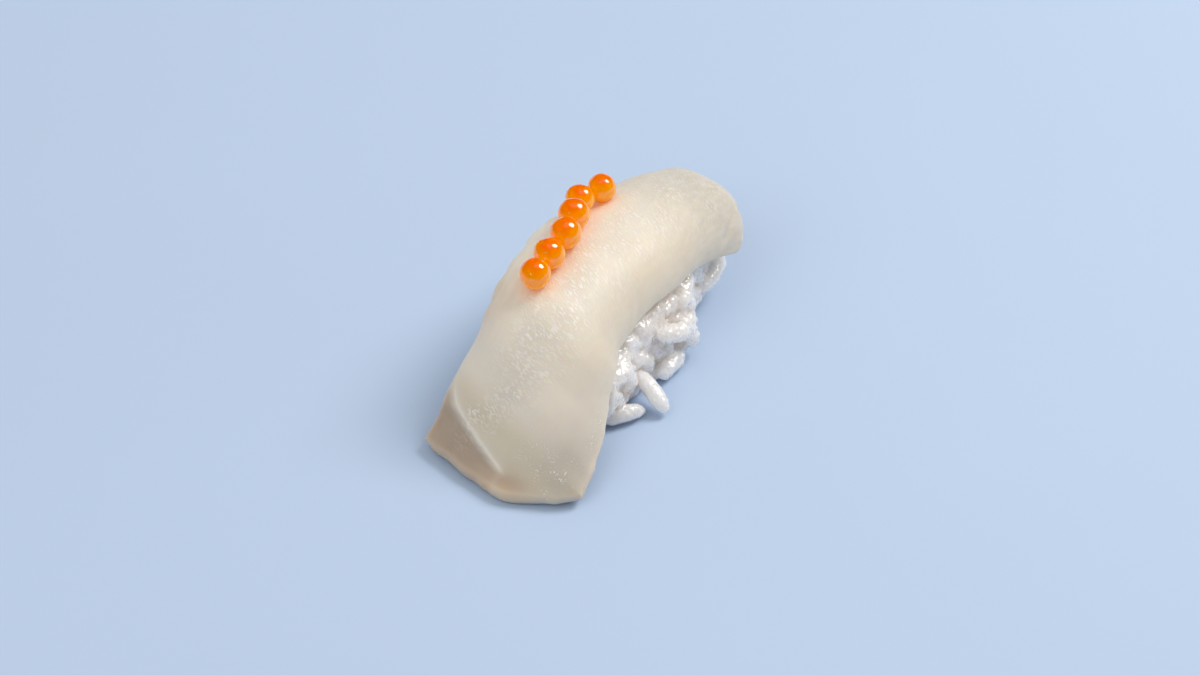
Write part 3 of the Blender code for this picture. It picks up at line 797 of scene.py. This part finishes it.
def spread_grains(settings, shade, seed, lift, tilt, taken, count):
    """Places of one layer of grains on the core, picked in a seeded order so that none crowd.

    Returns middles, axes, outward directions and sizes. A grain lies along a random tangent, lifted and
    tilted. One that would reach into the slice is turned by 45 degrees up to three times, or left out.
    """
    draw = np.random.default_rng(seed)
    directions = normed(draw.normal(size=(count, 3)) * np.array((1.6, 1.0, 0.8)))
    first = normed(np.cross(directions, (0.31, 0.27, 0.91)))
    second = np.cross(directions, first)
    spot = rice_surface(directions, shade)
    plain = rice_surface(directions)
    normal = normed(np.cross(rice_surface(directions + 0.04 * first) - plain,
                             rice_surface(directions + 0.04 * second) - plain))
    long_size = settings.grain_length / MM * draw.uniform(0.86, 1.16, count)
    wide_size = settings.grain_width / MM * draw.uniform(0.92, 1.10, count)
    turn = draw.uniform(0, np.pi, count)
    slope = np.radians(draw.uniform(-tilt, tilt, count))
    middle = spot + normal * (lift + draw.uniform(-0.35, 0.25, count))[:, None]
    middle[:, 2] = np.maximum(middle[:, 2], wide_size * 0.42)
    tangent = normed(np.cross(normal, np.where(np.abs(normal[:, 2:]) < 0.9, (0.0, 0.0, 1.0),
                                               (1.0, 0.0, 0.0))))
    other = np.cross(normal, tangent)
    axes = np.zeros((count, 3))
    free = np.zeros(count, bool)
    parts = np.array((-0.4, 0.0, 0.4))
    for trial in range(4):
        angle = (turn + trial * np.pi / 4)[:, None]
        axis = ((tangent * np.cos(angle) + other * np.sin(angle)) * np.cos(slope)[:, None]
                + normal * np.sin(slope)[:, None])
        reach = middle[:, None] + axis[:, None] * (long_size[:, None] * parts)[..., None]
        radius = wide_size[:, None] / 2 * np.sqrt(1 - 2.8 * parts ** 2)
        gap = shade.gap_below(reach.reshape(-1, 3)).reshape(reach.shape[:2]) - radius
        low = reach[..., 2] - radius
        fits = (gap.min(1) > 0.0) & (low.min(1) > -0.35) & shade.inside_left(reach, radius)
        axes = np.where((fits & ~free)[:, None], axis, axes)
        free |= fits
    picked = []
    middles = list(taken)
    spacing = settings.spacing / MM
    for number in np.flatnonzero(free):
        if not middles or np.min(np.linalg.norm(np.array(middles) - middle[number], axis=-1)) >= spacing:
            middles.append(middle[number])
            picked.append(number)
    return middle[picked], axes[picked], normal[picked], np.stack((long_size, wide_size), -1)[picked]


def rice_grains(settings, shade):
    """All grains: the loose ones, then a layer that stands out and a deeper one between them.

    Returns their points, and the two ends and the width of each one's axis.
    """
    starts, ends = (np.array([grain[i] for grain in LOOSE_GRAINS]) for i in (0, 1))
    widths = np.array([grain[2] for grain in LOOSE_GRAINS])
    loose = ((starts + ends) / 2, ends - starts, np.tile((0.0, -0.6, 0.8), (len(widths), 1)),
             np.stack((np.linalg.norm(ends - starts, axis=-1) + widths / 2, widths), -1))
    outer = spread_grains(settings, shade, settings.seed, lift=-0.05, tilt=12, taken=loose[0], count=5000)
    inner = spread_grains(settings, shade, settings.seed + 1, lift=-1.1, tilt=20, taken=(), count=3000)
    layers = [np.concatenate(group) for group in zip(loose, outer, inner)]
    draw = np.random.default_rng(settings.seed + 2)
    count = len(layers[0])
    bend = draw.uniform((0.1, -0.35), (0.75, 0.35), (count, 2))
    bodies = grain_bodies(*layers, bend, draw.uniform(-0.12, 0.12, count))
    height = bodies[..., 2]
    squeezed = GROUND_BAND * np.exp(np.minimum(height / GROUND_BAND - 1, 0.0))
    bodies[..., 2] = np.where(height < GROUND_BAND, squeezed, height)
    middle, axis, _, size = layers
    reach = normed(axis) * (size[:, :1] - size[:, 1:]) / 2
    return bodies, middle - reach, middle + reach, size[:, 1]


def nearest_grains(points, starts, ends, widths):
    """For each point the number of the nearest grain, and how much nearer it is than the next one.

    The distance to a grain is that to its straight axis, in half widths.
    """
    numbers, leads = [], []
    span = ends - starts
    square = (span ** 2).sum(-1)
    for chunk in np.array_split(points, len(points) // GRAINS_AT_ONCE + 1):
        away = chunk[:, None] - starts
        way = np.clip((away * span).sum(-1) / square, 0, 1)
        distance = np.linalg.norm(away - way[..., None] * span, axis=-1) * 2 / widths
        first = np.argmin(distance, 1)
        rows = np.arange(len(chunk))
        least = distance[rows, first]
        distance[rows, first] = 1e9
        numbers.append(first)
        leads.append(distance.min(1) - least)
    return np.concatenate(numbers), np.concatenate(leads)


def evened(points, edges, rounds):
    """Points moved halfway to the mean of their neighbours, a number of times."""
    start, end = np.concatenate((edges, edges[:, ::-1])).T
    count = np.bincount(start, minlength=len(points))[:, None]
    for _ in range(rounds):
        total = np.stack([np.bincount(start, values[end], len(points)) for values in points.T], -1)
        points = (points + total / count) / 2
    return points


def outward_ways(points, faces):
    """Unit normals of a closed mesh: at each point the sum of the normals of its faces."""
    total = np.zeros(points.shape)
    for group in faces:
        square = np.cross(points[group[:, 2]] - points[group[:, 0]],
                          points[group[:, -1]] - points[group[:, 1]])
        for corner in group.T:
            for axis in range(3):
                total[:, axis] += np.bincount(corner, square[:, axis], len(points))
    return total / np.maximum(np.linalg.norm(total, axis=-1, keepdims=True), 1e-12)


def array_of(items, key, per_item=1, kind=int):
    """One property of all of a mesh's items."""
    values = np.empty(len(items) * per_item, kind)
    items.foreach_get(key, values)
    return values


def fused(bodies, voxel):
    """Points, faces and edges of one skin round several closed bodies, by Blender's voxel remesh."""
    shift = np.cumsum([0] + [len(points) for points, _ in bodies])
    faces = [part + start for (_, groups), start in zip(bodies, shift) for part in groups]
    mesh = new_mesh("rice mould", np.concatenate([points for points, _ in bodies]), faces)
    mould = placed("rice mould", mesh)
    remesh = mould.modifiers.new("skin", "REMESH")
    remesh.mode = "VOXEL"
    remesh.voxel_size = voxel
    remesh.adaptivity = 0.0
    skin = mould.evaluated_get(bpy.context.evaluated_depsgraph_get()).to_mesh()
    points = array_of(skin.vertices, "co", 3, float).reshape(-1, 3) / MM + PIECE_CENTRE
    edges = array_of(skin.edges, "vertices", 2).reshape(-1, 2)
    corners = array_of(skin.loops, "vertex_index")
    starts = array_of(skin.polygons, "loop_start")
    sizes = np.diff(np.append(starts, len(corners)))
    faces = [corners[starts[sizes == size][:, None] + np.arange(size)]
             for size in (3, 4) if (sizes == size).any()]
    bpy.data.objects.remove(mould)
    bpy.data.meshes.remove(mesh)
    return points, faces, edges


MILKY_TINT = (0.90, 0.88, 0.88)
DULL_TINT = (0.76, 0.70, 0.66)


def rice_finish(settings, name, deep):
    """Sticky cooked rice: milky, with small sharp glints.

    Painted shade: warmer and darker between the grains and under the slice, and the core below the grains
    mixed from the shade colour and the starch.
    """
    made = Finish(name)
    place = made.place()
    cloud = made.noise(place, 260.0)
    fine = made.noise(place, 3100.0, 1.0)
    nodules = made.node("ShaderNodeTexVoronoi", {"feature": "SMOOTH_F1"}, output="Distance", Vector=place,
                        Scale=1700.0, Smoothness=0.5)
    if deep:
        # Painted shade: the core under the grains mixes the shade colour with the starch
        tone = made.mix(cloud * 0.5, settings.crevice, settings.starch)
    else:
        tone = made.mix(cloud.rise(0.42, 0.75) * 0.45, settings.starch, MILKY_TINT)
        tone = made.mix(made.attribute("grain_tint") * 0.5, tone, DULL_TINT)
        # Painted shade between the grains
        tone = made.mix(made.attribute("crevice") * cloud * 0.35, tone, settings.crevice)
        # Painted shade under the slice
        tone = made.mix(made.attribute("under") * cloud.rise(0.35, 0.6) * 0.8, tone, settings.crevice)
    normal = made.bump(1.0 - nodules, 0.00032, 0.55)
    normal = made.bump(fine, 0.00008, 0.25, normal)
    return made.surface(
        Base_Color=tone, Roughness=0.12 + 0.10 * cloud, Subsurface_Weight=1.0, IOR=1.42, Normal=normal,
        Subsurface_Radius=(1.0, 0.90, 0.82), Subsurface_Scale=0.0045, Coat_Weight=0.7, Coat_IOR=1.8,
        Coat_Roughness=0.085)


# ---- the roe

TOP_TINT = (1.0, 0.17, 0.001)
# Painted light: the lower rim yellower, as where a real pearl focuses light
PAINTED_FOCUS_TINT = (1.0, 0.44, 0.001)
# Painted light that the pearls give off though they are no lamp, yellower low and redder high
PAINTED_LOW_LIGHT = (1.0, 0.38, 0.0)
PAINTED_TOP_LIGHT = (1.0, 0.18, 0.0)
OIL_TINT = (1.0, 0.28, 0.004)


def pearl_points(centre, radius, number):
    """A pearl's skin: a ball of 1.05 times the radius with slow lumps of up to about 3 %.

    What lies more than 0.93 radius below its middle is pressed to 0.35 of its depth there.
    """
    unit = ball_directions(*PEARL_GRID)
    lumps = soft_noise(unit[:, 0] * 2 + unit[:, 2], unit[:, 1] * 2 - unit[:, 2], 40 + number, 3.2, 2)
    swell = radius * (1.05 + 0.032 * lumps)
    points = unit * swell[:, None]
    floor = -0.93 * radius
    points[:, 2] = np.where(points[:, 2] < floor, floor + 0.35 * (points[:, 2] - floor), points[:, 2])
    return points + centre


def oil_points(centre, radius, share):
    """The oil drop that floats under a pearl's top: a ball flattened from above, hollowed below."""
    unit = ball_directions(*OIL_GRID)
    points = unit * np.array((share, share, share * 0.62)) * radius
    points[:, 2] += radius * (0.90 - share * 0.62) - 0.35 * (points[:, 0] ** 2 + points[:, 1] ** 2) / radius
    return points + centre


def roe_finish(settings):
    """Clear orange jelly in a glossy skin: redder towards the top, and yellower towards the lower rim as
    painted focused light; the pearl also gives off painted light of its own.
    """
    made = Finish("salmon roe")
    place = made.place()
    cloud = made.noise(place, 320.0)
    height = made.attribute("height") + (cloud - 0.5) * 0.8
    tone = made.mix(height.rise(0.4, 1.1) * 0.7, settings.skin, TOP_TINT)
    # Painted light: yellower towards the lower rim
    tone = made.mix(1.0 - height.rise(-0.9, 0.1), tone, PAINTED_FOCUS_TINT)
    # Painted light: the pearl gives off light of its own
    glow = made.mix(height.rise(0.1, 1.0), PAINTED_LOW_LIGHT, PAINTED_TOP_LIGHT)
    return made.surface(
        Base_Color=tone, Roughness=0.03, Transmission_Weight=0.38, IOR=1.36, Subsurface_Weight=1.0,
        Subsurface_Radius=(1.0, 0.45, 0.06), Subsurface_Scale=0.0012, Coat_IOR=1.7, Coat_Roughness=0.06,
        Coat_Weight=0.2 + 0.8 * made.attribute("height").rise(-0.6, 0.2), Emission_Color=glow,
        Emission_Strength=0.15, Normal=made.bump(made.noise(place, 600.0, 1.0), 0.00003, 0.3))


def oil_finish(settings):
    """Deep red-orange oil."""
    made = Finish("roe oil")
    tone = made.mix(made.noise(made.place(), 500.0) * 0.5, settings.oil, OIL_TINT)
    return made.surface(Base_Color=tone, Roughness=0.35, Subsurface_Weight=1.0,
                        Subsurface_Radius=(1.0, 0.2, 0.05), Subsurface_Scale=0.0012)


# ---- the stage

# The light, which is also its power's setting, its direction, distance, width and height, tint, and whether
# it shows in reflections.
LIGHTS = (
    ("key", (0.54, -0.385, 0.748), 0.9, (0.42, 0.52), (1.0, 0.97, 0.93), True),
    ("overhead", (0.10, -0.02, 1.0), 1.1, (0.9, 0.9), (1.0, 1.0, 1.0), True),
    ("front", (-0.66, 0.16, 0.73), 1.1, (1.3, 1.0), (1.0, 0.98, 0.95), False),
    ("back", (0.15, 0.93, 0.33), 1.1, (1.0, 0.6), (1.0, 0.98, 0.95), False),
    ("glint", (-0.794, 0.116, 0.599), 0.8, (0.05, 0.06), (1.0, 1.0, 1.0), True),
)
LIGHTS_AIM = Vector((0.0, 0.0, 0.012))
SKY_COLOUR = (1.0, 0.975, 0.94, 1.0)
SKY_STRENGTH = 0.42
# Half the floor's side in millimetres, and its points along a side.
FLOOR_HALF = 3000
FLOOR_POINTS = 9


def floor_finish(settings):
    """A matt pale floor with faint mottling."""
    made = Finish("pale floor")
    mottle = made.noise(made.place(), 9.0, 3.0)
    low = tuple(0.97 * value for value in settings.floor)
    high = tuple(min(1.0, 1.03 * value) for value in settings.floor)
    return made.surface(Base_Color=made.mix(mottle, low, high), Roughness=0.85,
                        Normal=made.bump(made.noise(made.place(), 700.0), 0.0001, 0.15))


def aimed(name, data, place, way):
    """A new object at a place in metres, with its back turned a way."""
    thing = placed(name, data)
    thing.location = place
    thing.rotation_mode = "QUATERNION"
    thing.rotation_quaternion = way.to_track_quat("Z", "Y")
    return thing


def soft_light(name, direction, distance, size, watts, tint, reflects):
    """An oval area light that faces the piece from a direction."""
    lamp = bpy.data.lights.new(name, "AREA")
    lamp.shape = "ELLIPSE"
    lamp.size, lamp.size_y = size
    lamp.energy = watts
    lamp.color = tint
    way = Vector(direction).normalized()
    light = aimed(name, lamp, way * distance + LIGHTS_AIM, way)
    light.visible_glossy = reflects


# ---- operators

class NIGIRI_OT_drape_slice(Operator):
    """Make the fish slice that lies over the rice"""
    bl_idname = "nigiri.drape_slice"
    bl_label = "Drape the slice"

    def execute(self, context):
        """Build the closed slice."""
        settings = context.scene.nigiri_slice
        points, faces, values = slice_body(settings)
        flesh = new_piece("slice_flesh", points, faces, flesh_finish(settings), values)
        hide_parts("halibut_slice")
        return {"FINISHED"}


class NIGIRI_OT_press_rice(Operator):
    """Make the ball of rice from its core and its grains"""
    bl_idname = "nigiri.press_rice"
    bl_label = "Press the rice"

    def execute(self, context):
        """Build the core, then all grains in one skin.

        The skin is evened over six rounds, but over two on the free grains and towards the left, and then
        moved outwards by lumps of two sizes.
        """
        settings = context.scene.nigiri_rice
        shade = SliceShade(context.scene.nigiri_slice)
        core = ball_directions(*CORE_GRID)
        core_faces = ball_faces(*CORE_GRID)
        inner = rice_surface(core, shade, 1.5)
        inner = inner + 0.2 * space_noise(inner, 51, 3.0)[:, None] * np.array((1, 1, 0))
        # The core's colour is half painted shade.
        piece = new_piece("rice_core", inner, core_faces, rice_finish(settings, "rice starch", True))
        bodies, starts, ends, widths = rice_grains(settings, shade)
        count, per = bodies.shape[:2]
        shift = (np.arange(count) * per)[:, None, None]
        faces = [(group + shift).reshape(-1, group.shape[1]) for group in ball_faces(*GRAIN_GRID)]
        deep = rice_surface(core, shade, 0.35)
        points, faces, edges = fused([(deep, core_faces), (bodies.reshape(-1, 3), faces)], settings.voxel)
        number, lead = nearest_grains(points, starts, ends, widths)
        clear = np.maximum(number < FREE_GRAINS, eased(points[:, 1] / 4) * 0.9)
        share = clear[:, None]
        points = evened(points, edges, 6) * (1 - share) + evened(points, edges, 2) * share
        lumps = 0.29 * np.abs(space_noise(points, 52, 1.9, 1)) + 0.10 * space_noise(points, 53, 1.05, 1)
        lumps = (1 - 0.6 * clear) * lumps * eased(points[:, 2] / 0.8)
        points = points + outward_ways(points, faces) * lumps[:, None]
        tint = np.random.default_rng(settings.seed + 3).uniform(0, 1, count)[number]
        grains = new_piece("rice_grains", points, faces, rice_finish(settings, "cooked rice", False),
                           # the last two mark where shade is painted: between the grains and under the slice
                           {"grain_tint": tint, "crevice": 1 - eased(lead / 0.55),
                            "under": 1 - eased(shade.gap_below(points) / 1.1)})
        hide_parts("rice")
        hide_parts("rice")
        return {"FINISHED"}


class NIGIRI_OT_lay_roe(Operator):
    """Make the pearls of roe where the frame has them"""
    bl_idname = "nigiri.lay_roe"
    bl_label = "Lay the roe"

    def execute(self, context):
        """Build each pearl's skin and the oil drop in it."""
        if not PEARLS:
            raise RuntimeError("the frame has no roe")
        settings = context.scene.nigiri_roe
        skin = roe_finish(settings)
        oil = oil_finish(settings)
        shade = SliceShade(context.scene.nigiri_slice)
        for number, name in enumerate(PEARLS, start=1):
            centre, radius = pearl_ball(name, 2)
            centre = shade.touched(centre, 0.97 * radius)
            points = pearl_points(centre, radius, number)
            pearl = new_piece(f"pearl_{number}", points, ball_faces(*PEARL_GRID), skin,
                              {"height": (points[:, 2] - centre[2]) / radius})
            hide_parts(name)
            drop = oil_points(centre, radius, settings.oil_share)
            new_piece(f"pearl_oil_{number}", drop, ball_faces(*OIL_GRID), oil)
        return {"FINISHED"}


class NIGIRI_OT_set_stage(Operator):
    """Make the floor, the lights, the sky and the camera"""
    bl_idname = "nigiri.set_stage"
    bl_label = "Set the stage"

    def execute(self, context):
        """Build everything round the piece."""
        settings = context.scene.nigiri_stage
        scene = context.scene
        steps = np.linspace(-FLOOR_HALF, FLOOR_HALF, FLOOR_POINTS)
        x, y = np.meshgrid(steps, steps, indexing="ij")
        points = np.stack((x, y, np.zeros(x.shape)), -1).reshape(-1, 3) + PIECE_CENTRE
        mesh = new_mesh("floor", points, [grid_faces(FLOOR_POINTS, FLOOR_POINTS)])
        mesh.materials.append(floor_finish(settings))
        floor = placed("floor", mesh)
        for name, direction, distance, size, tint, reflects in LIGHTS:
            soft_light(name, direction, distance, size, getattr(settings, name), tint, reflects)
        world = bpy.data.worlds.new("soft sky")
        world.use_nodes = True
        sky = world.node_tree.nodes["Background"]
        sky.inputs["Color"].default_value = SKY_COLOUR
        sky.inputs["Strength"].default_value = SKY_STRENGTH
        scene.world = world
        world.cycles_visibility.glossy = False
        camera = bpy.data.cameras.new("camera")
        camera.lens = settings.lens
        camera.sensor_width = 36.0
        camera.clip_start = 0.01
        camera.clip_end = 20.0
        scene.camera = aimed("camera", camera, Vector(in_metres(CAMERA)), Vector(-LOOK))
        scene.view_settings.view_transform = "Standard"
        return {"FINISHED"}


class NIGIRI_PT_pieces(Panel):
    """The sizes, the colours and the steps, in the sidebar"""
    bl_label = "Halibut nigiri"
    bl_idname = "NIGIRI_PT_pieces"
    bl_space_type = "VIEW_3D"
    bl_region_type = "UI"
    bl_category = "Nigiri"

    def draw(self, context):
        """One box for each operator with its settings."""
        scene = context.scene
        for operator, group, _ in STEPS:
            box = self.layout.box()
            box.operator(operator.bl_idname)
            settings = getattr(scene, group)
            for name in settings.__annotations__:
                box.prop(settings, name)


STEPS = (
    (NIGIRI_OT_drape_slice, "nigiri_slice", SliceSettings),
    (NIGIRI_OT_press_rice, "nigiri_rice", RiceSettings),
    (NIGIRI_OT_lay_roe, "nigiri_roe", RoeSettings),
    (NIGIRI_OT_set_stage, "nigiri_stage", StageSettings),
)


def register():
    """Add the settings, the operators and the panel."""
    for operator, name, group in STEPS:
        bpy.utils.register_class(group)
        setattr(bpy.types.Scene, name, PointerProperty(type=group))
        bpy.utils.register_class(operator)
    bpy.utils.register_class(NIGIRI_PT_pieces)


def unregister():
    """Take them away again."""
    bpy.utils.unregister_class(NIGIRI_PT_pieces)
    for operator, name, group in STEPS:
        bpy.utils.unregister_class(operator)
        delattr(bpy.types.Scene, name)
        bpy.utils.unregister_class(group)


def main():
    """Make every piece."""
    register()
    bpy.ops.nigiri.drape_slice()
    bpy.ops.nigiri.press_rice()
    bpy.ops.nigiri.lay_roe()
    bpy.ops.nigiri.set_stage()


if __name__ == "__main__":
    main()
